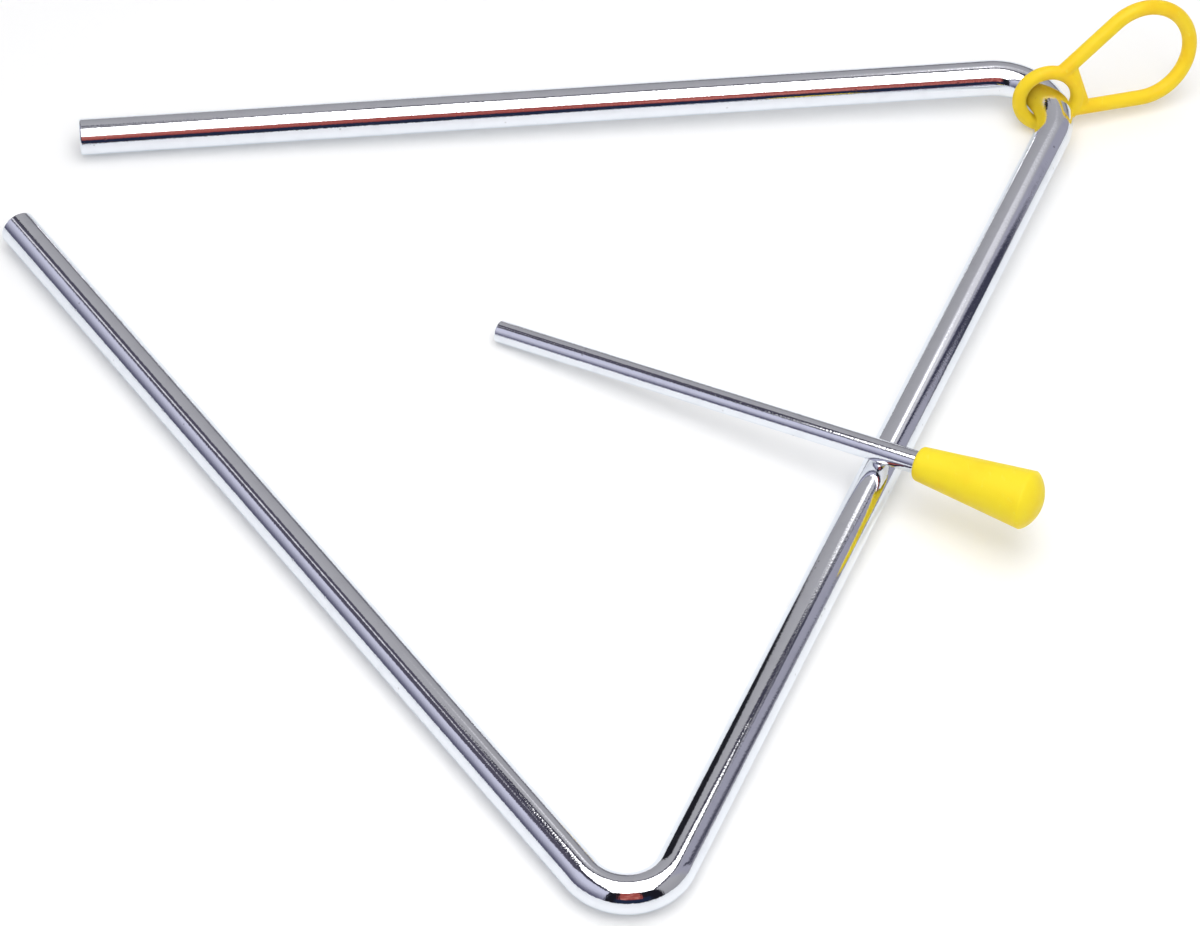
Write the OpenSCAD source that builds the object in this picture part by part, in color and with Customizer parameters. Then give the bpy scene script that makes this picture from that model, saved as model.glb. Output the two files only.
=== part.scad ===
// Triangle, the percussion instrument: a bent round bar, a moulded hand loop threaded on
// its closed top corner, and a beater that lies across the bar.
// Millimetres. +X runs along the top side, +Y up the page from the low corner, +Z off the surface.

/* [Bar] */
// Diameter of the round bar
bar_d = 8; // [6:0.5:10]
// Side of the triangle, between the virtual corners of the bar's centreline
side = 252; // [220:1:300]
// Centreline bend radius at the top corner, where the hand loop hangs
bend_r_top = 12.8; // [11:0.2:18]
// Centreline bend radius at the low corner
bend_r_low = 10.4; // [8:0.2:18]
// Distance from the open corner to the cut end of the top side
trim_top = 28.9; // [20:0.1:50]
// Distance from the open corner to the cut end of the left side
trim_left = 29.5; // [20:0.1:50]
// Height of the broken edge round a cut end of the bar
bar_edge = 0.4; // [0.1:0.1:1]

/* [Hand loop] */
// Diameter of the moulded cord that the hand loop is made of
cord_d = 3.1; // [2.4:0.1:3.6]
// Free play between the bar and the small ring round it, across the ring
ring_play = 2; // [1.6:0.1:3]
// Radius of the finger loop's round end, at the cord's centreline
loop_r = 11.1; // [9:0.1:16]
// Distance from the small ring's centre to the centre of the finger loop's round end
loop_reach = 23.6; // [21:0.1:40]
// Distance from the small ring's centre to the line that each straight leg lies on
leg_offset = 3.14; // [2:0.02:4]
// Distance from the small ring's centre to the bridge that closes the finger loop
bridge_at = 7; // [6.6:0.1:8]
// Angle from the surface up to the hand loop's long axis
loop_rise = 19.2; // [17:0.2:40]
// How far the finger loop is bent out of the small ring's plane
loop_bend = 10.5; // [0:0.5:15]
// How far the small ring leans back from upright
ring_lean = 13.5; // [8:0.5:20]
// How far the small ring is turned from the top side's direction
ring_turn = 1.7; // [0:0.1:6]
// Where the small ring sits, as an angle round the top bend from its start
ring_station = 69; // [64:1:76]

/* [Beater] */
// Diameter of the beater's steel rod
rod_d = 4.8; // [4:0.1:6]
// Clearance between the bar and the grip's small end, along the rod
grip_gap = 3.8; // [2:0.1:60]
// Height of the broken edge round the rod's tip
rod_edge = 0.3; // [0.1:0.1:0.6]
// Length of the moulded grip
grip_length = 27.2; // [24:0.2:60]
// Diameter of the grip's small end
grip_small_d = 7.3; // [7:0.1:9]
// Diameter of the grip's large end, at its shoulder
grip_large_d = 12.3; // [10:0.1:16]
// Radius that rounds the edge of the grip's small end
grip_edge_r = 1.1; // [0.4:0.1:1.1]
// Height of the dome on the grip's large end
grip_dome = 2.8; // [2:0.1:8]
// How far the rod goes into the grip
grip_bore_depth = 18; // [10:0.5:19]
// Angle between the grip's outer shape and the rod
grip_cant = 1.6; // [0:0.1:3]
// Distance from the top corner to the place where the beater crosses the right side
cross_at = 127.3; // [110:0.1:150]
// Distance from the beater's tip to that crossing, along the rod
cross_reach = 88.4; // [70:0.1:120]
// Angle of the beater below the top side's direction, seen from above
beater_angle = 33.1; // [20:0.1:50]

/* [Hidden] */
$fn = 48;

// Gap left between pieces that rest on each other
seat_gap = 0.1;
// Extra radius of a bend over the straight stretches that run into it, and how far they run in
swell = 0.02;
overlap = 0.2;

// The bar's triangle has equal sides, with the open corner at the top left
corner = 60;
turn = 180 - corner;
bar_r = bar_d / 2;
height = side * sin(corner);
open_corner = [-side / 2, height / 3, 0];
top_corner = [side / 2, height / 3, 0];
low_corner = [0, -2 * height / 3, 0];
top_setback = bend_r_top * tan(turn / 2);
low_setback = bend_r_low * tan(turn / 2);
top_length = side - trim_top - top_setback;
right_length = side - top_setback - low_setback;
left_length = side - trim_left - low_setback;
top_bend_centre = top_corner - [top_setback, bend_r_top, 0];
low_bend_centre = low_corner + [0, 2 * bend_r_low, 0];

// Directions in the bar's plane: down the right side, up the left side and square to the left side
down_right = [-cos(corner), -sin(corner), 0];
up_left = [-cos(corner), sin(corner), 0];
off_left = [sin(corner), cos(corner), 0];

// The small ring stands on the surface and passes under the bar, which it lifts at the top corner
cord_r = cord_d / 2;
leg_share = 0.98;
bridge_share = 0.94;
leg_r = leg_share * cord_r;
bridge_r = bridge_share * cord_r;
ring_r = bar_r + ring_play / 2 + cord_r;
station_dir = [sin(ring_station), cos(ring_station), 0];
station = top_bend_centre + bend_r_top * station_dir;
lift_angle = asin((cord_d + 2 * swell + seat_gap) / ((station - low_corner) * off_left));
ring_out = ring_play / 8;
ring_rise = cord_r + swell + ring_r * cos(ring_lean);
ring_centre = station + ring_out * station_dir + [0, 0, ring_rise];

// Axes of the small ring: along its level diameter, up its plane and square to its plane
ring_level = [cos(ring_turn), sin(ring_turn), 0];
ring_up = [-sin(ring_turn) * sin(ring_lean), cos(ring_turn) * sin(ring_lean), cos(ring_lean)];
ring_axis = cross(ring_level, ring_up);

// The finger loop's straight legs leave the small ring's centreline and meet the round end
leg_angle = asin((loop_r - leg_offset) / loop_reach);
leg_start = sqrt(pow(ring_r, 2) - pow(leg_offset, 2));
leg_length = loop_reach * cos(leg_angle) - leg_start;
leg_root = [leg_start * cos(leg_angle) - leg_offset * sin(leg_angle),
            leg_start * sin(leg_angle) + leg_offset * cos(leg_angle), 0];
bridge_half = leg_root.y + (bridge_at - leg_root.x) * tan(leg_angle);
loop_along = cos(loop_rise) * ring_level + sin(loop_rise) * ring_up;
loop_out = cos(loop_bend) * loop_along - sin(loop_bend) * ring_axis;
loop_normal = cos(loop_bend) * ring_axis + sin(loop_bend) * loop_along;
loop_centre = ring_centre + leg_root.x * loop_along + (loop_reach - leg_root.x) * loop_out;

// The beater's tip is on the surface and its rod rests on the right side of the bar
rod_r = rod_d / 2;
crossing = top_corner + cross_at * down_right;
crossing_rise = bar_r + ((crossing - low_corner) * off_left) * sin(lift_angle);
rod_rise = crossing_rise + bar_r + seat_gap;
beater_slope = asin(rod_rise / cross_reach);
level_reach = cross_reach * cos(beater_slope);
rod_free = cross_reach + bar_r + grip_gap;
tip = crossing + level_reach * [-cos(beater_angle), sin(beater_angle), 0] + [0, 0, rod_r];

// Profile of the grip from its small end to its dome
grip_small_r = grip_small_d / 2;
grip_large_r = grip_large_d / 2;
shoulder_at = grip_length - grip_dome;
arc_step = 10;
dome_share = 1.5;

// Outermost places of the whole set, seen from above, which put the origin under its middle
x_low = open_corner.x + trim_left * cos(corner) - bar_r * sin(corner);
x_high = loop_centre.x + loop_r * sqrt(1 - pow(loop_normal.x, 2)) + cord_r;
y_low = low_corner.y + bend_r_low - bar_r;
y_high = max(top_corner.y + bar_r, loop_centre.y + loop_r * sqrt(1 - pow(loop_normal.y, 2)) + cord_r);
middle = [(x_low + x_high) / 2, (y_low + y_high) / 2, 0];

// A round rod along +Z from the origin, with a broken edge at its near end
module cut_rod(r, length, edge) {
    cylinder(r1 = r - edge, r2 = r, h = edge);
    translate([0, 0, edge])
        cylinder(r = r, h = length - edge);
}

// What is drawn along +Z, laid along a direction in the XY plane
module lay(start, heading) {
    translate(start)
        rotate([0, 90, heading])
            children();
}

// A bend of round rod about a centre, from one angle through another
module bend(centre, bend_r, r, from, through) {
    translate(centre)
        rotate([0, 0, from])
            rotate_extrude(angle = through)
                translate([bend_r, 0])
                    circle(r = r + swell);
}

// The bar drawn flat, its centreline in the XY plane
module flat_bar() {
    lay(open_corner + [trim_top, 0, 0], 0)
        cut_rod(bar_r, top_length + overlap, bar_edge);
    bend(top_bend_centre, bend_r_top, bar_r, corner / 2 - corner, turn);
    lay(top_corner + (top_setback - overlap) * down_right, -turn)
        cylinder(r = bar_r, h = right_length + 2 * overlap);
    bend(low_bend_centre, bend_r_low, bar_r, corner / 2 - 180, turn);
    lay(open_corner - trim_left * up_left, -corner)
        cut_rod(bar_r, left_length + overlap, bar_edge);
}

// The bar lies on its left side and leans on the small ring at the top corner
module triangle_bar() {
    color("silver")
        translate([0, 0, bar_r] + low_corner - middle)
            rotate(a = lift_angle, v = -up_left)
                translate(-low_corner)
                    flat_bar();
}

module finger_loop() {
    bend([loop_reach - leg_root.x, 0, 0], loop_r, cord_r, -90 - leg_angle, 180 + 2 * leg_angle);
    for (end = [-1, 1]) {
        lay([0, end * leg_root.y, 0], end * leg_angle)
            cylinder(r = leg_r, h = leg_length + overlap);
    }
    lay([bridge_at - leg_root.x, -bridge_half, 0], 90)
        cylinder(r = bridge_r, h = 2 * bridge_half);
}

module hand_loop() {
    color("gold")
        translate(ring_centre - middle)
            rotate([0, 0, ring_turn])
                rotate([90 - ring_lean, 0, 0])
                    rotate([0, 0, loop_rise]) {
                        bend([0, 0, 0], ring_r, cord_r, 0, 360);
                        translate([leg_root.x, 0, 0])
                            rotate([0, loop_bend, 0])
                                finger_loop();
                    }
}

// Places a piece that is drawn along +Z, from the beater's tip, where the beater lies
module along_beater() {
    translate(tip - middle)
        rotate([0, 90 - beater_slope, -beater_angle])
            children();
}

module beater_rod() {
    color("silver")
        along_beater()
            cut_rod(rod_r, rod_free + grip_bore_depth, rod_edge);
}

module grip_outside() {
    rotate_extrude()
        polygon([
            [0, 0],
            for (a = [0 : arc_step : 90])
                [grip_small_r - grip_edge_r * (1 - sin(a)), grip_edge_r * (1 - cos(a))],
            for (a = [0 : arc_step : 90])
                [grip_large_r * cos(a), shoulder_at + grip_dome * pow(sin(a), dome_share)]
        ]);
}

module beater_grip() {
    color("gold")
        along_beater()
            translate([0, 0, rod_free])
                difference() {
                    rotate([grip_cant, 0, 0])
                        grip_outside();
                    translate([0, 0, -grip_edge_r])
                        cylinder(r = rod_r, h = grip_bore_depth + seat_gap + grip_edge_r);
                }
}

triangle_bar();
hand_loop();
beater_rod();
beater_grip();
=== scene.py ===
"""Triangle instrument: the looks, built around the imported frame.

A bent chrome bar, a moulded hand loop threaded on its closed top corner, and a beater with a
moulded grip. Sizes are in millimetres until a finished mesh is placed in metres.
"""

import logging
import math
from dataclasses import dataclass, field
from enum import Enum
from functools import cached_property
from typing import Any, Iterable

import bmesh
import bpy
from mathutils import Matrix, Quaternion, Vector


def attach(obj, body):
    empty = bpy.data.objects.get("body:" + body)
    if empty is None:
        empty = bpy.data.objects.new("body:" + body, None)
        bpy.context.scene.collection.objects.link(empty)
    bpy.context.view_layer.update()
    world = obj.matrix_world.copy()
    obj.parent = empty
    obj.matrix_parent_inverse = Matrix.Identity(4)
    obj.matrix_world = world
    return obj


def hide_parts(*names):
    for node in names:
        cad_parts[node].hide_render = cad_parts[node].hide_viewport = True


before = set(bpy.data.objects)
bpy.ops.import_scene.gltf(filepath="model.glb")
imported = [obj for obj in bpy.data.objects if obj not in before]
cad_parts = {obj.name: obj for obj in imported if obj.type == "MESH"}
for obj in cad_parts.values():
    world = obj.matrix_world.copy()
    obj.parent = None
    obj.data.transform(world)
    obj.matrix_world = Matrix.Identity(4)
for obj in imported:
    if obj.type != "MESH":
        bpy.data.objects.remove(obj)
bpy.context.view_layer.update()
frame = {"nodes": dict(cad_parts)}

LOG = logging.getLogger("triangle")
MM = 0.001
FULL_TURN = 2 * math.pi
SKIN = "skin"
MERGE = 1e-4
SHARP = math.radians(40)
Colour = tuple[float, float, float]


class Slot(Enum):
    """The names of the material slots."""

    BAR = "bar_chrome"
    LOOP = "loop_plastic"
    ROD = "rod_chrome"
    GRIP = "grip_plastic"


class Body(Enum):
    """The bodies that pieces ride on."""

    BAR = "bar"
    HAND_LOOP = "hand_loop"
    BEATER = "beater"


def turned(axis: str, degrees: float) -> Matrix:
    """Returns a 4x4 turn about a main axis."""
    return Matrix.Rotation(math.radians(degrees), 4, axis)


def heading(degrees: float) -> Vector:
    """Returns the level direction at an angle from +X."""
    return Vector((math.cos(math.radians(degrees)), math.sin(math.radians(degrees)), 0))


@dataclass(frozen=True)
class Layout:
    """The set's sizes and the places that follow from them, in millimetres and degrees."""

    bar_r: float = 4.0
    side: float = 252.0
    bend_r_top: float = 12.8
    bend_r_low: float = 10.4
    trim_top: float = 28.9
    trim_left: float = 29.5
    bar_edge: float = 0.4
    cord_r: float = 1.55
    ring_play: float = 2.0
    loop_r: float = 11.1
    loop_reach: float = 23.6
    leg_offset: float = 3.14
    bridge_at: float = 7.0
    loop_rise: float = 19.2
    loop_bend: float = 10.5
    ring_lean: float = 13.5
    ring_turn: float = 1.7
    ring_station: float = 69.0
    rod_r: float = 2.4
    rod_edge: float = 0.3
    grip_gap: float = 3.8
    grip_length: float = 27.5
    grip_small_r: float = 3.65
    grip_large_r: float = 6.15
    grip_edge_r: float = 1.1
    grip_dome: float = 3.1
    grip_bore_depth: float = 18.0
    grip_cant: float = 1.6
    cross_at: float = 127.3
    cross_reach: float = 88.4
    beater_angle: float = 33.1
    seat_gap: float = 0.1
    swell: float = 0.02
    corner: float = 60.0

    @cached_property
    def turn(self) -> float:
        """How far the bar turns at a bend."""
        return 180 - self.corner

    @cached_property
    def open_corner(self) -> Vector:
        """The open corner of the bar's flat centreline."""
        return Vector((-self.side / 2, self.side * math.sqrt(3) / 6, 0))

    @cached_property
    def top_corner(self) -> Vector:
        """The closed top corner of the bar's flat centreline."""
        return Vector((self.side / 2, self.side * math.sqrt(3) / 6, 0))

    @cached_property
    def low_corner(self) -> Vector:
        """The low corner of the bar's flat centreline."""
        return Vector((0, -self.side * math.sqrt(3) / 3, 0))

    @cached_property
    def top_setback(self) -> float:
        """Distance from the top corner to its bend."""
        return self.bend_r_top * math.sqrt(3)

    @cached_property
    def low_setback(self) -> float:
        """Distance from the low corner to its bend."""
        return self.bend_r_low * math.sqrt(3)

    @cached_property
    def ring_r(self) -> float:
        """Radius of the small ring at its centreline."""
        return self.bar_r + self.ring_play / 2 + self.cord_r

    @cached_property
    def station_dir(self) -> Vector:
        """Direction from the top bend's centre to the small ring."""
        return heading(90 - self.ring_station)

    @cached_property
    def station(self) -> Vector:
        """Where the small ring sits on the bar's flat centreline."""
        bend = self.top_corner - Vector((self.top_setback, self.bend_r_top, 0))
        return bend + self.bend_r_top * self.station_dir

    @cached_property
    def lift(self) -> float:
        """Angle in radians by which the small ring lifts the bar's right side."""
        under = 2 * self.cord_r + 2 * self.swell + self.seat_gap
        return math.asin(under / (self.station - self.low_corner).dot(heading(30)))

    @cached_property
    def ring_centre(self) -> Vector:
        """Centre of the small ring."""
        out = self.ring_play / 8 * self.station_dir
        rise = self.cord_r + self.swell + self.ring_r * math.cos(math.radians(self.ring_lean))
        return self.station + out + Vector((0, 0, rise))

    @cached_property
    def leg_angle(self) -> float:
        """Angle between each straight leg of the finger loop and its long axis."""
        return math.degrees(math.asin((self.loop_r - self.leg_offset) / self.loop_reach))

    @cached_property
    def leg_root(self) -> Vector:
        """Where a leg meets the small ring's centreline, in the ring's plane."""
        start = math.sqrt(self.ring_r**2 - self.leg_offset**2)
        return turned("Z", self.leg_angle) @ Vector((start, self.leg_offset, 0))

    @cached_property
    def leg_length(self) -> float:
        """Length of a straight leg."""
        start = math.sqrt(self.ring_r**2 - self.leg_offset**2)
        return self.loop_reach * math.cos(math.radians(self.leg_angle)) - start

    @cached_property
    def slope(self) -> float:
        """Angle of the beater above the surface."""
        crossing = self.top_corner + self.cross_at * heading(-120)
        out = (crossing - self.low_corner).dot(heading(30))
        rise = 2 * self.bar_r + out * math.sin(self.lift) + self.seat_gap
        return math.degrees(math.asin(rise / self.cross_reach))

    @cached_property
    def tip(self) -> Vector:
        """Centre of the beater's tip."""
        crossing = self.top_corner + self.cross_at * heading(-120)
        level = self.cross_reach * math.cos(math.radians(self.slope))
        return crossing - level * heading(-self.beater_angle) + Vector((0, 0, self.rod_r))

    @cached_property
    def rod_free(self) -> float:
        """Length of the rod between its tip and the grip."""
        return self.cross_reach + self.bar_r + self.grip_gap

    @cached_property
    def loop_frame(self) -> Matrix:
        """Turns the small ring's plane, loop along +X, to how it stands."""
        return turned("Z", self.ring_turn) @ turned("X", 90 - self.ring_lean) @ turned("Z", self.loop_rise)

    @cached_property
    def bent_frame(self) -> Matrix:
        """Places the finger loop, bent out of the small ring's plane."""
        return Matrix.Translation((self.leg_root.x, 0, 0)) @ turned("Y", self.loop_bend)

    @cached_property
    def middle(self) -> Vector:
        """The middle of the set, seen from above, which is the row's origin."""
        bent = self.loop_frame @ self.bent_frame
        normal = bent.to_3x3() @ Vector((0, 0, 1))
        centre = self.ring_centre + bent @ Vector((self.loop_reach - self.leg_root.x, 0, 0))
        reach = [self.loop_r * math.sqrt(1 - normal[i] ** 2) + self.cord_r for i in range(2)]
        x_low = self.open_corner.x + self.trim_left / 2 - self.bar_r * math.sqrt(3) / 2
        y_low = self.low_corner.y + self.bend_r_low - self.bar_r
        y_high = max(self.top_corner.y + self.bar_r, centre.y + reach[1])
        return Vector(((x_low + centre.x + reach[0]) / 2, (y_low + y_high) / 2, 0))

    def placed(self, place: Matrix) -> Matrix:
        """Takes a place in the triangle's own frame, in mm, to the row's frame in metres.

        Args:
            place: where the piece lies, from the triangle's centre on the surface.

        Returns:
            The matrix that puts the piece's mesh in the row's frame.
        """
        return Matrix.Scale(MM, 4) @ Matrix.Translation(-self.middle) @ place

    @cached_property
    def bar_place(self) -> Matrix:
        """How the flat bar lies on its left side and on the small ring."""
        lean = Matrix.Rotation(self.lift, 4, -heading(120))
        onto = Matrix.Translation(self.low_corner + Vector((0, 0, self.bar_r)))
        return self.placed(onto @ lean @ Matrix.Translation(-self.low_corner))

    @cached_property
    def beater_place(self) -> Matrix:
        """How the beater, drawn along +X from its tip, lies."""
        lie = turned("Z", -self.beater_angle) @ turned("Y", -self.slope)
        return self.placed(Matrix.Translation(self.tip) @ lie)


class Graph:
    """A shader node tree that is being wired."""

    def __init__(self, tree: bpy.types.NodeTree) -> None:
        """Empties the tree.

        Args:
            tree: the material's or world's node tree.
        """
        self.tree = tree
        tree.nodes.clear()

    def add(self, kind: str, inputs: dict[Any, Any] | None = None, **settings: Any) -> bpy.types.Node:
        """Adds a node.

        Args:
            kind: the node's type without its ShaderNode prefix.
            inputs: values or sockets for the node's inputs, by name or number.
            settings: the node's own settings.

        Returns:
            The new node.
        """
        node = self.tree.nodes.new("ShaderNode" + kind)
        for name, value in settings.items():
            setattr(node, name, value)
        for key, value in (inputs or {}).items():
            if isinstance(value, bpy.types.NodeSocket):
                self.tree.links.new(value, node.inputs[key])
            else:
                node.inputs[key].default_value = value
        return node

    def math(self, operation: str, *values: Any, clamp: bool = False) -> bpy.types.NodeSocket:
        """Adds a Math node and returns its value."""
        inputs = dict(enumerate(values))
        return self.add("Math", inputs, operation=operation, use_clamp=clamp).outputs[0]

    def step(self, value: Any, low: float, high: float, out: tuple[float, float] = (0, 1)) -> Any:
        """Eases a value from one level to another.

        Args:
            value: the socket to read.
            low: where the ease starts.
            high: where it ends.
            out: the results at low and high.

        Returns:
            The eased value's socket.
        """
        inputs = {0: value, 1: low, 2: high, 3: out[0], 4: out[1]}
        return self.add("MapRange", inputs, interpolation_type="SMOOTHSTEP").outputs[0]

    def mix(self, factor: Any, a: Any, b: Any) -> bpy.types.NodeSocket:
        """Mixes two colours.

        Args:
            factor: the share of the second colour.
            a: the first colour or socket.
            b: the second colour or socket.

        Returns:
            The mixed colour's socket.
        """
        a, b = ((*c, 1) if isinstance(c, tuple) else c for c in (a, b))
        return self.add("Mix", {0: factor, 6: a, 7: b}, data_type="RGBA").outputs[2]

    def noise(self, at: Any, scale: float, detail: float = 2.0, stretch: Colour = (1, 1, 1)) -> Any:
        """Adds noise.

        Args:
            at: the coordinate socket, in metres.
            scale: features to the metre.
            detail: octaves of finer noise.
            stretch: factors on the coordinate's axes.

        Returns:
            The noise value's socket.
        """
        place = self.add("Mapping", {"Vector": at, "Scale": stretch}).outputs[0]
        inputs = {"Vector": place, "Scale": scale, "Detail": detail}
        return self.add("TexNoise", inputs).outputs["Fac"]


def new_material(name: str) -> tuple[bpy.types.Material, Graph]:
    """Makes an empty node material and returns it with its graph."""
    material = bpy.data.materials.new(name)
    material.use_nodes = True
    return material, Graph(material.node_tree)


@dataclass(frozen=True)
class ChromePlate:
    """Polished chrome plating over a drawn steel rod."""

    name: str
    tint: Colour
    dull: Colour
    roughness: tuple[float, float] = (0.03, 0.1)
    grain: float = 1.2e-5
    ripple: float = 1.5e-5
    drawn: float = 2.0e-6
    pit: float = 9e-6
    pit_share: float = 0.02
    pit_roughness: float = 0.2
    pit_tint: Colour = (0.3, 0.29, 0.3)

    def material(self) -> bpy.types.Material:
        """Builds the plating on the rod's own straightened coordinates.

        Returns:
            The material.
        """
        material, g = new_material(self.name)
        at = g.add("Attribute", attribute_name=SKIN).outputs["Vector"]
        cloud = g.noise(at, 240, 3)
        streak = g.noise(at, 2600, 2, (1, 1, 0.03))
        grain = g.noise(at, 2300, 3)
        ripple = g.noise(at, 190, 1, (1, 1, 0.5))
        cells = g.add("TexVoronoi", {"Vector": at, "Scale": 900.0, "Randomness": 1.0})
        near = g.step(cells.outputs["Distance"], 0.1, 0.34, (1, 0))
        lot = g.add("SeparateColor", {0: cells.outputs["Color"]}).outputs[0]
        chosen = g.math("LESS_THAN", lot, self.pit_share)
        pits = g.math("MULTIPLY", near, chosen)
        relief = g.math("MULTIPLY", ripple, self.ripple)
        relief = g.math("MULTIPLY_ADD", grain, self.grain, relief)
        relief = g.math("MULTIPLY_ADD", streak, self.drawn, relief)
        relief = g.math("MULTIPLY_ADD", pits, -self.pit, relief)
        bump = g.add("Bump", {"Strength": 1.0, "Distance": 1.0, "Height": relief})
        worn = g.step(cloud, 0.45, 0.75)
        rough = g.math("MULTIPLY_ADD", worn, self.roughness[1] - self.roughness[0], self.roughness[0])
        rough = g.math("MULTIPLY_ADD", pits, self.pit_roughness, rough)
        colour = g.mix(g.math("MULTIPLY", worn, 0.5), self.tint, self.dull)
        colour = g.mix(g.math("MULTIPLY", pits, 0.35), colour, self.pit_tint)
        shader = g.add("BsdfPrincipled", {
            "Base Color": colour, "Roughness": rough, "Metallic": 1.0, "Normal": bump.outputs[0],
        })
        g.add("OutputMaterial", {"Surface": shader.outputs[0]})
        return material


@dataclass(frozen=True)
class MouldedPlastic:
    """Satin moulded plastic with a fine pebbled skin and faint flow marks."""

    name: str
    colour: Colour
    shade: Colour
    pale: Colour
    roughness: tuple[float, float] = (0.36, 0.5)
    pebble: float = 4e-6
    flow: float = 2.4e-5
    scatter: float = 0.25

    def material(self) -> bpy.types.Material:
        """Builds the plastic on Object coordinates.

        Returns:
            The material.
        """
        material, g = new_material(self.name)
        at = g.add("TexCoord").outputs["Object"]
        flow = g.noise(at, 130, 3)
        pebble = g.noise(at, 4200, 2)
        scuff = g.noise(at, 900, 4, (1, 0.35, 1))
        relief = g.math("MULTIPLY", flow, self.flow)
        relief = g.math("MULTIPLY_ADD", pebble, self.pebble, relief)
        marks = g.step(scuff, 0.62, 0.74)
        relief = g.math("MULTIPLY_ADD", marks, -self.pebble, relief)
        bump = g.add("Bump", {"Strength": 1.0, "Distance": 1.0, "Height": relief})
        colour = g.mix(g.step(flow, 0.42, 0.72), self.colour, self.shade)
        colour = g.mix(g.math("MULTIPLY", marks, 0.35), colour, self.pale)
        rough = g.step(g.noise(at, 700, 2), 0.3, 0.7, self.roughness)
        shader = g.add("BsdfPrincipled", {
            "Base Color": colour, "Roughness": rough, "Normal": bump.outputs[0], "IOR": 1.47,
            "Subsurface Weight": self.scatter, "Subsurface Radius": (1.0, 0.9, 0.3),
            "Subsurface Scale": 1.0 * MM, "Specular IOR Level": 0.35,
        })
        g.add("OutputMaterial", {"Surface": shader.outputs[0]})
        return material


def finish_piece(
    bm: bmesh.types.BMesh,
    name: str,
    place: Matrix,
    material: bpy.types.Material,
    body: Body,
    node: str,
) -> bpy.types.Object:
    """Turns a finished bmesh into a piece that stands for a CAD node.

    Args:
        bm: the piece's mesh in millimetres, which is freed.
        name: the piece's name.
        place: takes the mesh to the row's frame in metres.
        material: the piece's finish.
        body: the body that it rides on.
        node: the CAD node that it replaces.

    Returns:
        The piece.
    """
    bmesh.ops.transform(bm, matrix=place, verts=bm.verts)
    bmesh.ops.recalc_face_normals(bm, faces=bm.faces)
    mesh = bpy.data.meshes.new(name)
    bm.to_mesh(mesh)
    bm.free()
    mesh.materials.append(material)
    piece = bpy.data.objects.new(name, mesh)
    bpy.context.scene.collection.objects.link(piece)
    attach(piece, body.value)
    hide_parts(node)
    LOG.info("%s: %d vertices, %d faces", name, len(mesh.vertices), len(mesh.polygons))
    return piece


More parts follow.
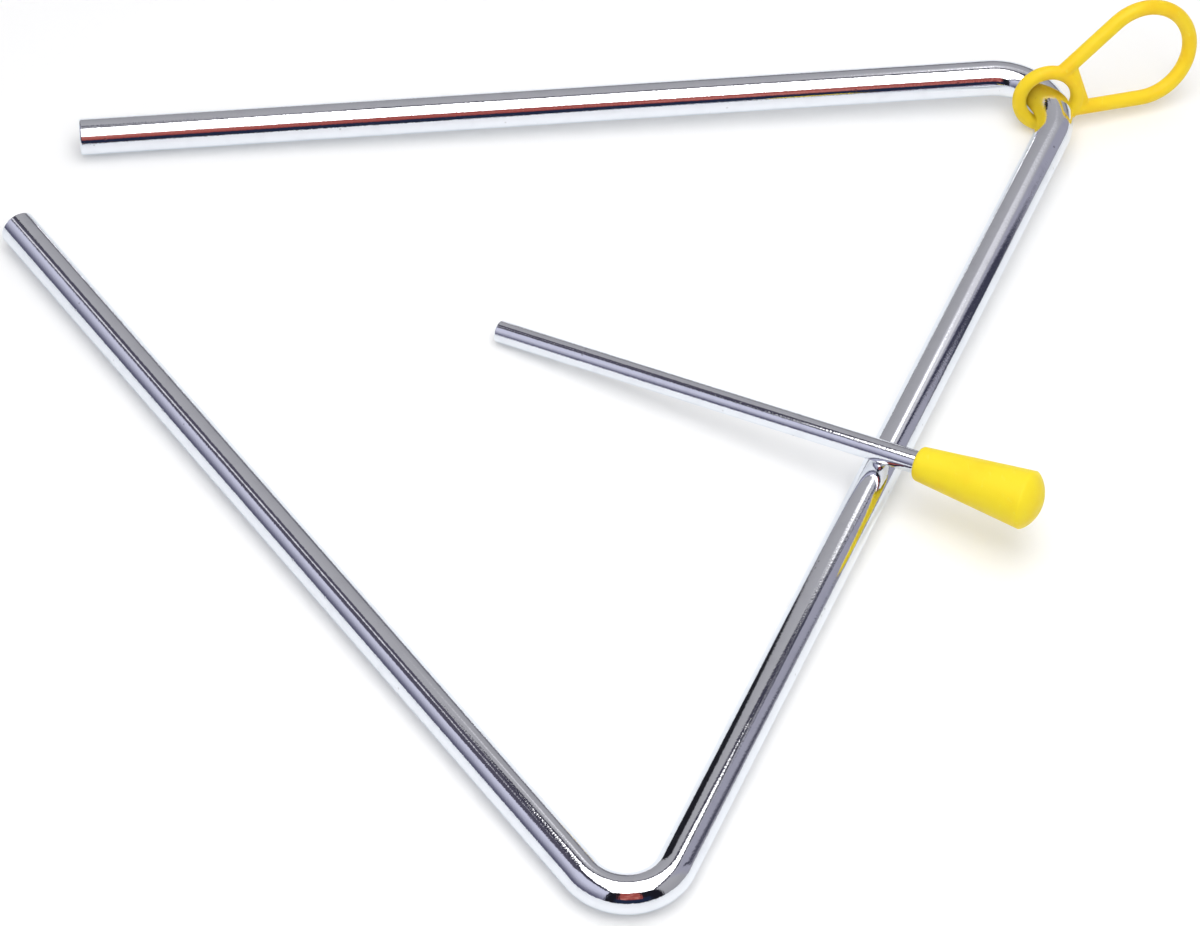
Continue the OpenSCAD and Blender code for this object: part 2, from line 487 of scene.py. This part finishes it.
class Sweep:
    """A round rod grown ring by ring along its centreline, with its straightened coordinates."""

    def __init__(
        self, radius: float, edge: float, start: Vector, direction: Vector, segments: int = 96
    ) -> None:
        """Starts the rod with a flat cut end and its broken edge.

        Args:
            radius: the rod's radius.
            edge: height of the broken edge.
            start: centre of the cut end.
            direction: the level direction that the rod starts in.
            segments: points round the rod.
        """
        self.bm = bmesh.new()
        self.skin = self.bm.verts.layers.float_vector.new(SKIN)
        self.at = start.copy()
        self.direction = direction.copy()
        self.along = 0.0
        face = direction.to_track_quat("Z", "Y").to_matrix().to_4x4()
        made = bmesh.ops.create_circle(
            self.bm,
            cap_ends=True,
            segments=segments,
            radius=radius - edge,
            matrix=Matrix.Translation(start) @ face,
        )
        for index, vert in enumerate(made["verts"]):
            angle = index / segments * FULL_TURN
            vert[self.skin] = Vector((math.cos(angle), math.sin(angle), 0)) * radius * MM
        self.ring = list({edge for vert in made["verts"] for edge in vert.link_edges})
        for rim in self.ring:
            rim.smooth = False
        self._broken_edge(radius, edge, 1)

    def _grow(self) -> list[bmesh.types.BMVert]:
        """Extrudes the last ring in place and returns the new ring's vertices."""
        made = bmesh.ops.extrude_edge_only(self.bm, edges=self.ring)["geom"]
        verts = [item for item in made if isinstance(item, bmesh.types.BMVert)]
        fresh = set(verts)
        edges = [item for item in made if isinstance(item, bmesh.types.BMEdge)]
        self.ring = [edge for edge in edges if fresh.issuperset(edge.verts)]
        return verts

    def _mark(self, verts: Iterable[bmesh.types.BMVert]) -> None:
        """Writes how far along the rod these vertices are."""
        for vert in verts:
            skin = vert[self.skin]
            vert[self.skin] = Vector((skin.x, skin.y, self.along * MM))

    def _broken_edge(self, radius: float, edge: float, sign: int, steps: int = 6) -> None:
        """Rounds a cut end.

        Args:
            radius: the rod's radius.
            edge: height of the broken edge.
            sign: 1 opens the ring out from a cut end, -1 closes it in to one.
            steps: rings over the edge.
        """
        def ease(share: float) -> tuple[float, float]:
            angle = share * math.pi / 2
            angle = angle if sign > 0 else math.pi / 2 - angle
            reach = edge * (1 - math.cos(angle))
            return radius - edge + edge * math.sin(angle), reach if sign > 0 else edge - reach

        for index in range(steps):
            now, before = ease((index + 1) / steps), ease(index / steps)
            verts = self._grow()
            factor = now[0] / before[0]
            move = self.direction * (now[1] - before[1])
            bmesh.ops.scale(self.bm, vec=(factor,) * 3, space=Matrix.Translation(-self.at), verts=verts)
            bmesh.ops.translate(self.bm, vec=move, verts=verts)
            self.at += move
            self.along += now[1] - before[1]
            self._mark(verts)

    def straight(self, length: float, steps: int) -> None:
        """Runs the rod straight on.

        Args:
            length: how far.
            steps: rings on the way.
        """
        for _ in range(steps):
            verts = self._grow()
            bmesh.ops.translate(self.bm, vec=self.direction * length / steps, verts=verts)
            self.at += self.direction * length / steps
            self.along += length / steps
            self._mark(verts)

    def bend(self, radius: float, degrees: float, steps: int) -> None:
        """Turns the rod clockwise, seen from above.

        Args:
            radius: bend radius at the centreline.
            degrees: how far it turns.
            steps: rings on the way.
        """
        centre = self.at + radius * (turned("Z", -90) @ self.direction)
        part = turned("Z", -degrees / steps)
        for _ in range(steps):
            verts = self._grow()
            bmesh.ops.rotate(self.bm, cent=centre, matrix=part, verts=verts)
            self.at = centre + part @ (self.at - centre)
            self.direction = part @ self.direction
            self.along += radius * math.radians(degrees / steps)
            self._mark(verts)

    def cut(self, radius: float, edge: float) -> bmesh.types.BMesh:
        """Ends the rod with a broken edge and a flat cut.

        Args:
            radius: the rod's radius.
            edge: height of the broken edge.

        Returns:
            The rod's bmesh.
        """
        self._broken_edge(radius, edge, -1)
        for rim in self.ring:
            rim.smooth = False
        bmesh.ops.contextual_create(self.bm, geom=self.ring)
        for face in self.bm.faces:
            face.smooth = len(face.verts) == 4
        return self.bm


@dataclass
class TriangleBar:
    """The bent bar."""

    layout: Layout
    finish: ChromePlate = ChromePlate("bar_chrome", (0.87, 0.875, 0.9), (0.8, 0.8, 0.83))
    step: float = 4.0
    bend_steps: int = 72

    def mesh(self) -> bmesh.types.BMesh:
        """Grows the bar from the cut end of its top side to that of its left side.

        Returns:
            The flat bar in millimetres.
        """
        a = self.layout
        top = a.side - a.trim_top - a.top_setback
        right = a.side - a.top_setback - a.low_setback
        left = a.side - a.trim_left - a.low_setback
        start = a.open_corner + Vector((a.trim_top, 0, 0))
        bar = Sweep(a.bar_r, a.bar_edge, start, heading(0))
        bar.straight(top - a.bar_edge, round(top / self.step))
        bar.bend(a.bend_r_top, a.turn, self.bend_steps)
        bar.straight(right, round(right / self.step))
        bar.bend(a.bend_r_low, a.turn, self.bend_steps)
        bar.straight(left - a.bar_edge, round(left / self.step))
        return bar.cut(a.bar_r, a.bar_edge)

    def build(self) -> bpy.types.Object:
        """Makes and dresses the bar, and returns it."""
        place, material = self.layout.bar_place, self.finish.material()
        return finish_piece(self.mesh(), "bent_bar", place, material, Body.BAR, "triangle_bar")


@dataclass
class HandLoop:
    """The moulded ring, bridge and finger loop, one piece of plastic."""

    layout: Layout
    finish: MouldedPlastic = MouldedPlastic(
        "loop_plastic", (0.98, 0.7, 0.02), (0.97, 0.63, 0.014), (0.98, 0.8, 0.09)
    )
    web: float = 1.0
    loop_swell: float = 1.09
    ring_swell: float = 1.02
    bridge_share: float = 0.95
    grid: float = 0.17
    blend_rounds: int = 7
    segments: int = 48

    def _tube(self, bm: bmesh.types.BMesh, radius: float, length: float, place: Matrix) -> None:
        """Adds a capped round tube along +X of a place.

        Args:
            bm: the mesh to add to.
            radius: the tube's radius.
            length: its length.
            place: where it starts and lies.
        """
        lie = place @ Matrix.Translation((length / 2, 0, 0)) @ turned("Y", 90)
        bmesh.ops.create_cone(
            bm,
            cap_ends=True,
            segments=self.segments,
            radius1=radius,
            radius2=radius,
            depth=length,
            matrix=lie,
        )

    def _hoop(
        self, bm: bmesh.types.BMesh, radius: float, bend_r: float, place: Matrix, start: float, sweep: float
    ) -> None:
        """Adds a ring, or a part of one with capped ends.

        Args:
            bm: the mesh to add to.
            radius: the cord's radius.
            bend_r: radius at the centreline.
            place: the ring's centre and plane.
            start: angle at which it starts.
            sweep: how far it goes round, 360 for a whole ring.
        """
        whole = sweep >= 360
        at = place @ turned("Z", start) @ Matrix.Translation((bend_r, 0, 0)) @ turned("X", 90)
        made = bmesh.ops.create_circle(
            bm, cap_ends=not whole, segments=self.segments, radius=radius, matrix=at
        )
        verts = made["verts"]
        geom = verts + list({edge for vert in verts for edge in vert.link_edges})
        if not whole:
            bmesh.ops.duplicate(bm, geom=list({face for vert in verts for face in vert.link_faces}))
        bmesh.ops.spin(
            bm, geom=geom, cent=place.translation, axis=place.to_3x3() @ Vector((0, 0, 1)),
            angle=math.radians(sweep), steps=round(sweep / 2.5), use_merge=whole,
        )

    def mesh(self) -> bmesh.types.BMesh:
        """Joins the overlapping forms before they are fused.

        Returns:
            The forms in the small ring's plane, in millimetres.
        """
        a = self.layout
        bm = bmesh.new()
        cord = self.loop_swell * a.cord_r
        self._hoop(bm, self.ring_swell * a.cord_r, a.ring_r, Matrix.Identity(4), 0, 360)
        bent = a.bent_frame
        round_end = bent @ Matrix.Translation((a.loop_reach - a.leg_root.x, 0, 0))
        self._hoop(bm, cord, a.loop_r, round_end, -90 - a.leg_angle, 180 + 2 * a.leg_angle)
        for side in (-1, 1):
            leg = bent @ Matrix.Translation((0, side * a.leg_root.y, 0)) @ turned("Z", side * a.leg_angle)
            self._tube(bm, cord, a.leg_length, leg)
        across = a.bridge_at - a.leg_root.x
        half = a.leg_root.y + across * math.tan(math.radians(a.leg_angle))
        bridge = bent @ Matrix.Translation((across, -half - self.web, 0)) @ turned("Z", 90)
        self._tube(bm, self.bridge_share * a.cord_r, 2 * half + self.web, bridge)
        return bm

    def fused(self) -> bmesh.types.BMesh:
        """Fuses the forms into one skin and blends where they meet.

        Returns:
            The moulding in the small ring's plane, in millimetres.
        """
        rough = bpy.data.meshes.new("rough_loop")
        bm = self.mesh()
        bmesh.ops.recalc_face_normals(bm, faces=bm.faces)
        bm.to_mesh(rough)
        bm.free()
        holder = bpy.data.objects.new("rough_loop", rough)
        bpy.context.scene.collection.objects.link(holder)
        fuse = holder.modifiers.new("fuse", "REMESH")
        fuse.mode = "VOXEL"
        fuse.voxel_size = self.grid
        graph = bpy.context.evaluated_depsgraph_get()
        skin = bmesh.new()
        skin.from_mesh(holder.evaluated_get(graph).to_mesh())
        bpy.data.objects.remove(holder)
        bpy.data.meshes.remove(rough)
        for _ in range(self.blend_rounds):
            bmesh.ops.smooth_vert(
                skin, verts=skin.verts, factor=0.5, use_axis_x=True, use_axis_y=True, use_axis_z=True
            )
        for face in skin.faces:
            face.smooth = True
        return skin

    def build(self) -> bpy.types.Object:
        """Makes and dresses the hand loop, and returns it."""
        a = self.layout
        place = a.placed(Matrix.Translation(a.ring_centre) @ a.loop_frame)
        skin = self.fused()
        return finish_piece(
            skin, "finger_loop", place, self.finish.material(), Body.HAND_LOOP, "hand_loop"
        )


@dataclass
class Beater:
    """The beater: a plated rod pushed into a moulded grip."""

    layout: Layout
    rod_finish: ChromePlate = ChromePlate(
        "rod_chrome", (0.85, 0.855, 0.88), (0.76, 0.76, 0.8), drawn=2.6e-6, grain=1.6e-5
    )
    grip_finish: MouldedPlastic = MouldedPlastic(
        "grip_plastic", (0.97, 0.76, 0.02), (0.96, 0.71, 0.016), (0.97, 0.84, 0.1), (0.4, 0.55)
    )
    mouth: float = 0.12
    mouth_depth: float = 1.2
    dome_share: float = 1.5
    segments: int = 96

    def rod(self) -> bpy.types.Object:
        """Makes and dresses the rod, and returns it."""
        a = self.layout
        length = a.rod_free + a.grip_bore_depth
        rod = Sweep(a.rod_r, a.rod_edge, Vector(), heading(0))
        rod.straight(length - 2 * a.rod_edge, 40)
        bm, material = rod.cut(a.rod_r, a.rod_edge), self.rod_finish.material()
        return finish_piece(
            bm, "beater_shaft", a.beater_place, material, Body.BEATER, "beater_rod"
        )

    def profile(self) -> list[tuple[float, float]]:
        """Works out the grip's half section, from inside its mouth to the middle of its dome.

        Returns:
            Pairs of distance along the grip and radius.
        """
        a = self.layout
        shoulder = a.grip_length - a.grip_dome
        mouth_r = a.rod_r + self.mouth
        points = [(self.mouth_depth, a.rod_r), (self.mouth_depth, mouth_r), (0.0, mouth_r)]
        for index in range(9):
            angle = index / 8 * math.pi / 2
            inset = a.grip_edge_r * (1 - math.sin(angle))
            points.append((a.grip_edge_r * (1 - math.cos(angle)), a.grip_small_r - inset))
        for index in range(1, 24):
            share = index / 24
            at = a.grip_edge_r + share * (shoulder - a.grip_edge_r)
            points.append((at, a.grip_small_r + share * (a.grip_large_r - a.grip_small_r)))
        for index in range(25):
            angle = (index / 24) ** 1.3 * math.pi / 2
            rise = a.grip_dome * math.sin(angle) ** self.dome_share
            points.append((shoulder + rise, a.grip_large_r * math.cos(angle)))
        return points

    def grip(self) -> bpy.types.Object:
        """Makes and dresses the grip, and returns it."""
        a = self.layout
        bm = bmesh.new()
        verts = [bm.verts.new((at, radius, 0)) for at, radius in self.profile()]
        edges = [bm.edges.new(pair) for pair in zip(verts, verts[1:])]
        bmesh.ops.spin(
            bm,
            geom=verts + edges,
            cent=(0, 0, 0),
            axis=(1, 0, 0),
            angle=FULL_TURN,
            steps=self.segments,
            use_merge=True,
        )
        bmesh.ops.remove_doubles(bm, verts=bm.verts, dist=MERGE)
        for face in bm.faces:
            face.smooth = True
        for edge in bm.edges:
            edge.smooth = edge.calc_face_angle(0) < SHARP
        place = a.beater_place @ Matrix.Translation((a.rod_free, 0, 0)) @ turned("Z", -a.grip_cant)
        return finish_piece(
            bm, "moulded_grip", place, self.grip_finish.material(), Body.BEATER, "beater_grip"
        )


@dataclass(frozen=True)
class Panel:
    """A part of the studio round the object, as compass directions and heights in degrees.

    The compass runs clockwise from +Y, so that 90 is +X and 180 is the camera's side.
    """

    compass: float
    width: float
    low: float
    high: float
    colour: Colour
    soft: float = 3.0
    streak: Colour | None = None


@dataclass(frozen=True)
class Edge:
    """One straight edge of the softbox: a line through a point, with the lit side to the right.

    Attributes:
        at: a point of the edge, in metres.
        heading: the edge's direction in degrees from +X.
        soft: how far outwards the light fades.
        rim: width of the dark frame outside the edge, none at 0.
    """

    at: tuple[float, float]
    heading: float
    soft: float = 0.008
    rim: float = 0.0


@dataclass(frozen=True)
class Patch:
    """A rectangle with soft edges in the softbox's plane, in metres."""

    x: float
    y: float
    long: float
    wide: float
    turn: float
    colour: Colour
    soft: float = 0.03


@dataclass
class Softbox:
    """The large overhead light: a lit panel in a dark frame, with patches round it."""

    height: float = 0.6
    reach: float = 1.2
    light: Colour = (3.05, 3.05, 3.07)
    frame: Colour = (0.05, 0.048, 0.075)
    edges: tuple[Edge, ...] = (
        Edge((-0.226, -0.45), 90, 0.01, 0.09),
        Edge((-0.226, 0.08), 43.9, 0.01, 0.05),
        Edge((0.03, 0.235), 0, 0.01, 0.09),
        Edge((0.15, 0.31), -50, 0.012, 0.12),
        Edge((0.27, 0.15), -90, 0.012, 0.07),
        Edge((0.27, -0.45), 180, 0.03),
    )
    patches: tuple[Patch, ...] = (
        Patch(0.44, 0.23, 0.16, 0.1, -20, (0.05, 0.05, 0.08), 0.04),
        Patch(0.27, 0.415, 0.2, 0.13, -40, (1.5, 1.5, 1.55), 0.06),
        Patch(0.36, 0.46, 0.42, 0.14, -35, (0.75, 0.75, 0.8), 0.12),
    )

    def _across(self, g: Graph, axes: Any, edge: Edge) -> Any:
        """Measures how far inside an edge a point is, and returns the socket."""
        turn = math.radians(edge.heading)
        normal = (math.sin(turn), -math.cos(turn))
        offset = -(edge.at[0] * normal[0] + edge.at[1] * normal[1])
        return g.math("MULTIPLY_ADD", axes[1], normal[1], g.math("MULTIPLY_ADD", axes[0], normal[0], offset))

    def build(self) -> bpy.types.Object:
        """Hangs the softbox over the object.

        Returns:
            The softbox's plane, which the camera doesn't see.
        """
        material, g = new_material("softbox_light")
        at = g.add("TexCoord").outputs["Object"]
        axes = g.add("SeparateXYZ", {0: at}).outputs
        lit, rim = None, None
        for edge in self.edges:
            inside = self._across(g, axes, edge)
            part = g.step(inside, -edge.soft, 0.0)
            lit = part if lit is None else g.math("MULTIPLY", lit, part)
            if edge.rim:
                part = g.math("MULTIPLY_ADD", inside, 1 / edge.rim, 0.0)
                rim = part if rim is None else g.math("MINIMUM", rim, part)
        ring = g.math("MULTIPLY", g.step(rim, -1.15, -0.85), g.step(rim, -0.12, 0.0, (1, 0)))
        ring = g.math("MULTIPLY", ring, g.step(axes[1], -0.47, -0.43))
        cover, colour = g.math("MAXIMUM", lit, ring), g.mix(ring, (0.0, 0.0, 0.0), self.frame)
        for patch in self.patches:
            mask = g.math("MULTIPLY", self._patch(g, at, patch), g.math("SUBTRACT", 1.0, cover))
            colour = g.mix(g.math("MULTIPLY", mask, 50.0, clamp=True), colour, patch.colour)
            cover = g.math("ADD", cover, mask)
        colour = g.mix(lit, colour, self.light)
        glow = g.add("Emission", {"Color": colour, "Strength": 1.0})
        clear = g.add("BsdfTransparent")
        both = g.add("MixShader", {0: cover, 1: clear.outputs[0], 2: glow.outputs[0]})
        g.add("OutputMaterial", {"Surface": both.outputs[0]})
        box = stage_plane("softbox", material, self.reach, self.height)
        box.visible_camera = False
        box.visible_shadow = False
        return box

    @staticmethod
    def _patch(g: Graph, at: Any, patch: Patch) -> Any:
        """Masks a patch and returns the mask's socket."""
        place = g.add("Mapping", {
            "Vector": at, "Location": (patch.x, patch.y, 0), "Rotation": (0, 0, math.radians(patch.turn)),
        }, vector_type="TEXTURE").outputs[0]
        axes = g.add("SeparateXYZ", {0: place}).outputs
        mask = None
        for axis, length in ((axes[0], patch.long), (axes[1], patch.wide)):
            off = g.math("ABSOLUTE", axis)
            part = g.step(off, length / 2 - patch.soft / 2, length / 2 + patch.soft / 2, (1, 0))
            mask = part if mask is None else g.math("MULTIPLY", mask, part)
        return mask


def stage_plane(name: str, material: bpy.types.Material, size: float, height: float) -> bpy.types.Object:
    """Lays a level plane that isn't part of the object.

    Args:
        name: the plane's name.
        material: what it is made of.
        size: half its side.
        height: how high it is.

    Returns:
        The plane.
    """
    bm = bmesh.new()
    at = Matrix.Translation((0, 0, height))
    bmesh.ops.create_grid(bm, x_segments=8, y_segments=8, size=size, matrix=at)
    mesh = bpy.data.meshes.new(name)
    bm.to_mesh(mesh)
    bm.free()
    mesh.materials.append(material)
    plane = bpy.data.objects.new(name, mesh)
    bpy.context.scene.collection.objects.link(plane)
    return plane


@dataclass(frozen=True)
class Flag:
    """A dark pole that stands by the object, out of the camera's sight, and shows in the chrome."""

    foot: Colour
    head: Colour
    radius: float
    colour: Colour

    def build(self, name: str) -> bpy.types.Object:
        """Stands the pole up.

        Args:
            name: the pole's name.

        Returns:
            The pole, which the camera doesn't see.
        """
        material, g = new_material(name)
        paint = g.add("Emission", {"Color": (*self.colour, 1), "Strength": 1.0})
        g.add("OutputMaterial", {"Surface": paint.outputs[0]})
        foot, head = Vector(self.foot), Vector(self.head)
        lie = (head - foot).to_track_quat("Z", "Y").to_matrix().to_4x4()
        bm = bmesh.new()
        bmesh.ops.create_cone(
            bm,
            cap_ends=True,
            segments=32,
            radius1=self.radius,
            radius2=self.radius,
            depth=(head - foot).length,
            matrix=Matrix.Translation((foot + head) / 2) @ lie,
        )
        mesh = bpy.data.meshes.new(name)
        bm.to_mesh(mesh)
        bm.free()
        mesh.materials.append(material)
        pole = bpy.data.objects.new(name, mesh)
        bpy.context.scene.collection.objects.link(pole)
        pole.visible_camera = False
        pole.visible_diffuse = False
        pole.visible_shadow = False
        return pole


@dataclass
class Studio:
    """Camera, floor and the plain studio that lights the object and shows in the chrome."""

    place: Colour = (-0.094705, -0.53941, 0.65221)
    azimuth: float = -8.680
    elevation: float = 49.790
    roll: float = 2.988
    lens: float = 124.15
    softbox: Softbox = field(default_factory=Softbox)
    flags: tuple[Flag, ...] = (
        Flag((-0.335, 0.6, 0), (-0.335, 0.6, 0.62), 0.075, (0.015, 0.015, 0.02)),
        Flag((0.5, 0.102, 0), (0.5, 0.24, 0.52), 0.026, (0.05, 0.05, 0.08)),
    )
    fill: Colour = (0.6, 0.6, 0.6)
    wall: Colour = (0.42, 0.42, 0.45)
    panels: tuple[Panel, ...] = (
        Panel(-100, 110, -20, 70, (0.64, 0.65, 0.8), 14),
        Panel(-105, 96, -70, 24, (0.1, 0.1, 0.16), 44),
        Panel(-47, 58, 46, 68, (0.085, 0.08, 0.115), 3),
        Panel(-46, 8, 46, 61, (0.8, 0.8, 0.86), 5),
        Panel(-70, 130, 60.5, 71, (0.085, 0.08, 0.115), 2.5),
        Panel(78, 44, 4, 56, (0.35, 0.35, 0.43), 14),
        Panel(86, 5, 8, 40, (0.07, 0.07, 0.1), 3),
        Panel(30, 50, -6, 12, (0.17, 0.17, 0.2), 8),
        Panel(175, 76, -6, 63, (0.012, 0.012, 0.018), 3),
        Panel(177, 46, 2, 26, (0.016, 0.024, 0.055), 5),
        Panel(180, 31, 22.5, 64, (0.36, 0.075, 0.065), 5, (0.7, 0.27, 0.23)),
    )
    floor_size: float = 12.0
    floor_white: float = 0.9
    floor_sheen: Colour = (0.55, 0.8, 1.0)
    camera_lift: float = 0.14
    glossy_lift: float = 0.13

    def camera(self) -> bpy.types.Object:
        """Sets the camera at the photograph's viewing angle.

        Returns:
            The camera.
        """
        data = bpy.data.cameras.new("camera")
        data.sensor_width = 36
        data.lens = self.lens
        data.clip_start, data.clip_end = 0.01, 50
        camera = bpy.data.objects.new("camera", data)
        bpy.context.scene.collection.objects.link(camera)
        a, e = math.radians(self.azimuth), math.radians(self.elevation)
        back = Vector((math.sin(a) * math.cos(e), -math.cos(a) * math.cos(e), math.sin(e)))
        camera.rotation_mode = "QUATERNION"
        level = (-back).to_track_quat("-Z", "Y")
        camera.rotation_quaternion = level @ Quaternion((0, 0, 1), math.radians(self.roll))
        camera.location = self.place
        bpy.context.scene.camera = camera
        return camera

    def floor(self) -> bpy.types.Object:
        """Lays the white satin floor, which keeps the object's shadow.

        Returns:
            The floor.
        """
        material, g = new_material("floor_white")
        at = g.add("TexCoord").outputs["Object"]
        tone = g.step(g.noise(at, 9, 3), 0.3, 0.7, (self.floor_white - 0.01, self.floor_white))
        seen = g.add("LightPath").outputs
        shown = g.math("MULTIPLY", seen["Is Camera Ray"], self.camera_lift)
        shown = g.math("MULTIPLY_ADD", seen["Is Glossy Ray"], self.glossy_lift, shown)
        white = g.add("CombineColor", {0: tone, 1: tone, 2: tone}).outputs[0]
        base = g.add("BsdfPrincipled", {"Base Color": white, "Roughness": 0.42, "IOR": 1.5})
        tint = g.mix(seen["Is Glossy Ray"], (1.0, 1.0, 1.0), self.floor_sheen)
        lift = g.add("Emission", {"Color": tint, "Strength": shown})
        both = g.add("AddShader", {0: base.outputs[0], 1: lift.outputs[0]})
        g.add("OutputMaterial", {"Surface": both.outputs[0]})
        return stage_plane("floor", material, self.floor_size / 2, 0.0)

    def surroundings(self) -> None:
        """Paints the walls that glossy rays see, and gives other rays a plain level."""
        world = bpy.data.worlds.new("studio")
        world.use_nodes = True
        bpy.context.scene.world = world
        g = Graph(world.node_tree)
        at = g.add("TexCoord").outputs["Generated"]
        axes = g.add("SeparateXYZ", {0: at}).outputs
        height = g.math("DEGREES", g.math("ARCSINE", axes[2]))
        compass = g.math("DEGREES", g.math("ARCTAN2", axes[0], axes[1]))
        colour = g.mix(g.step(height, 5, 60), tuple(0.85 * c for c in self.wall), self.wall)
        for panel in self.panels:
            mask = g.math("MULTIPLY", self._window(g, compass, panel), self._band(g, height, panel))
            paint = panel.colour
            if panel.streak:
                folds = g.step(g.noise(at, 9, 3, (1, 1, 0.35)), 0.45, 0.7)
                paint = g.mix(folds, panel.colour, panel.streak)
            colour = g.mix(mask, colour, paint)
        seen = g.add("LightPath").outputs
        colour = g.mix(seen["Is Glossy Ray"], self.fill, colour)
        colour = g.mix(seen["Is Camera Ray"], colour, (1.0, 1.0, 1.0))
        sky = g.add("Background", {"Color": colour, "Strength": 1.0})
        g.add("OutputWorld", {"Surface": sky.outputs[0]})

    @staticmethod
    def _window(g: Graph, compass: Any, panel: Panel) -> Any:
        """Masks a panel's compass range and returns the mask's socket."""
        off = g.math("WRAP", g.math("SUBTRACT", compass, panel.compass), 180.0, -180.0)
        off = g.math("ABSOLUTE", off)
        return g.step(off, panel.width / 2 - panel.soft / 2, panel.width / 2 + panel.soft / 2, (1, 0))

    @staticmethod
    def _band(g: Graph, height: Any, panel: Panel) -> Any:
        """Masks a panel's range of heights and returns the mask's socket."""
        rise = g.step(height, panel.low - panel.soft / 2, panel.low + panel.soft / 2)
        fall = g.step(height, panel.high - panel.soft / 2, panel.high + panel.soft / 2, (1, 0))
        return g.math("MULTIPLY", rise, fall)

    def build(self) -> None:
        """Sets up the whole studio."""
        self.camera()
        self.floor()
        self.softbox.build()
        for index, flag in enumerate(self.flags):
            flag.build(f"flag_{index}")
        self.surroundings()
        bpy.context.scene.view_settings.view_transform = "Standard"


def main() -> None:
    """Builds the studio and the object's pieces in order."""
    logging.basicConfig(level=logging.INFO, format="%(name)s: %(message)s")
    layout = Layout()
    Studio().build()
    TriangleBar(layout).build()
    HandLoop(layout).build()
    beater = Beater(layout)
    beater.rod()
    beater.grip()


if __name__ == "__main__":
    main()
